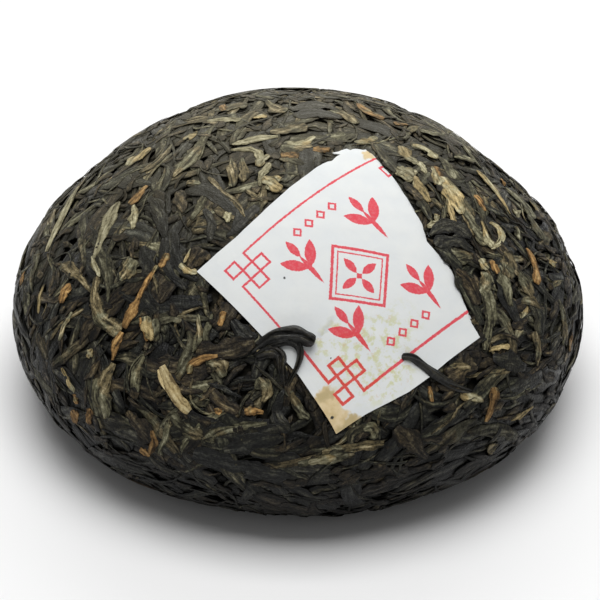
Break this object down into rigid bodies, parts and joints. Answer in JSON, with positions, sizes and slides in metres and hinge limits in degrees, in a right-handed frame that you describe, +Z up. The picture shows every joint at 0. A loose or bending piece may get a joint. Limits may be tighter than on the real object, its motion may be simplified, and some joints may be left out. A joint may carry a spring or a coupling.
{
  "type": "pu-erh tuocha",
  "caption": "Tea leaves pressed into a small rounded cone with a hollow under it like a bird's nest, and a paper ticket set into its front.",
  "frame": {"origin": "on the surface the cake stands on, under the middle of its outline", "axes": "+Z up through the crown; -Y is the front, where the paper ticket is; +X is to the right of someone who looks at the ticket"},
  "size_m": [0.0816, 0.0817, 0.0415],
  "materials": {
    "pressed_tea": "dry, dark brown to olive pressed leaves, satin on their ridges",
    "ticket_paper": "thin matt white paper with a red printed border"
  },
  "bodies": {
    "root": {"tea": "pressed_tea", "ticket": "ticket_paper"}
  },
  "joints": []
}
